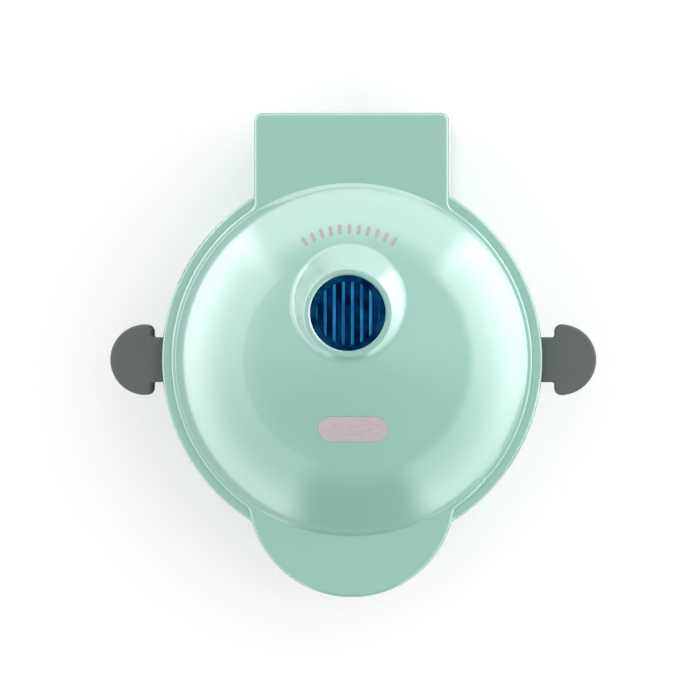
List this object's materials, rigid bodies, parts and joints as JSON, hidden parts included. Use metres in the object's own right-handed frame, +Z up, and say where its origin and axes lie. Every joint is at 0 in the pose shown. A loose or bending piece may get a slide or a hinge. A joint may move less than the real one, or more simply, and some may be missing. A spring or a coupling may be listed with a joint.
{
  "type": "donut maker",
  "caption": "Compact electric donut maker with hinged domed lid, indicator lens, removable ring plates, sprung side plate latches, front handle lip and rear hinge block.",
  "frame": {"origin": "middle of the footprint (of the bounding box seen from above) on the surface the feet stand on", "axes": "+Z up, -Y towards the front handle lip, +Y towards the hinge block, +X to the right seen from the front; lid closed"},
  "size_m": [0.1624, 0.1614, 0.0738],
  "materials": {
    "mint_shell": "gloss",
    "badge_metal": "satin",
    "mark_ink": "matte",
    "lens_blue": "clear gloss",
    "dark_plastic": "fine matte",
    "latch_grey": "soft matte",
    "plate_coating": "satin non-stick",
    "aluminised_sheet": "satin",
    "heater_sheath": "heat-stained",
    "steel": "satin",
    "thermostat_metal": "satin",
    "lamp_glass": "clear",
    "white_plastic": "matte",
    "rubber": "matte",
    "wire_silicone": "satin"
  },
  "bodies": {
    "base": {"base_housing": "mint_shell", "bottom_cover": "dark_plastic", "cover_screws": "steel", "cord_gland": "rubber", "terminal_block": "white_plastic", "terminal_screws": "steel", "thermal_fuse": "white_plastic", "lower_carrier": "dark_plastic", "lower_carrier_screws": "steel", "lower_donut_plate": "plate_coating", "lower_reflector": "aluminised_sheet", "lower_heater": "heater_sheath", "lower_heater_clips": "aluminised_sheet", "lower_thermostat": "thermostat_metal", "lower_latch_spring_left": "steel", "lower_latch_spring_right": "steel", "hinge_sleeve": "wire_silicone", "base_wires": "wire_silicone", "front_left_foot": "rubber", "front_right_foot": "rubber", "rear_left_foot": "rubber", "rear_right_foot": "rubber"},
    "lid": {"lid_cover": "mint_shell", "lid_badge": "badge_metal", "lid_marks": "mark_ink", "indicator_lens": "lens_blue", "lens_retainer": "dark_plastic", "lamp_holder": "white_plastic", "indicator_lamp": "lamp_glass", "upper_carrier": "dark_plastic", "upper_carrier_screws": "steel", "upper_donut_plate": "plate_coating", "upper_reflector": "aluminised_sheet", "upper_heater": "heater_sheath", "upper_heater_clips": "aluminised_sheet", "upper_thermostat": "thermostat_metal", "upper_latch_spring_left": "steel", "upper_latch_spring_right": "steel", "hinge_pin_left": "steel", "hinge_pin_right": "steel", "lid_wires": "wire_silicone"},
    "upper_latch_left": {"upper_latch_left": "latch_grey"},
    "upper_latch_right": {"upper_latch_right": "latch_grey"},
    "lower_latch_left": {"lower_latch_left": "latch_grey"},
    "lower_latch_right": {"lower_latch_right": "latch_grey"}
  },
  "joints": [
    {"name": "lid_hinge", "type": "hinge", "parent": "base", "child": "lid", "pos_m": [0, 0.07545, 0.04], "axis": [-1, 0, 0], "range_deg": [0, 100]},
    {"name": "upper_latch_left_slide", "type": "slide", "parent": "lid", "child": "upper_latch_left", "axis": [-1, 0, 0], "range_m": [0, 0.004], "stiffness_N_per_m": 800, "springref_m": -0.004, "deforming": ["upper_latch_spring_left"]},
    {"name": "upper_latch_right_slide", "type": "slide", "parent": "lid", "child": "upper_latch_right", "axis": [1, 0, 0], "range_m": [0, 0.004], "stiffness_N_per_m": 800, "springref_m": -0.004, "deforming": ["upper_latch_spring_right"]},
    {"name": "lower_latch_left_slide", "type": "slide", "parent": "base", "child": "lower_latch_left", "axis": [-1, 0, 0], "range_m": [0, 0.004], "stiffness_N_per_m": 800, "springref_m": -0.004, "deforming": ["lower_latch_spring_left"]},
    {"name": "lower_latch_right_slide", "type": "slide", "parent": "base", "child": "lower_latch_right", "axis": [1, 0, 0], "range_m": [0, 0.004], "stiffness_N_per_m": 800, "springref_m": -0.004, "deforming": ["lower_latch_spring_right"]}
  ]
}
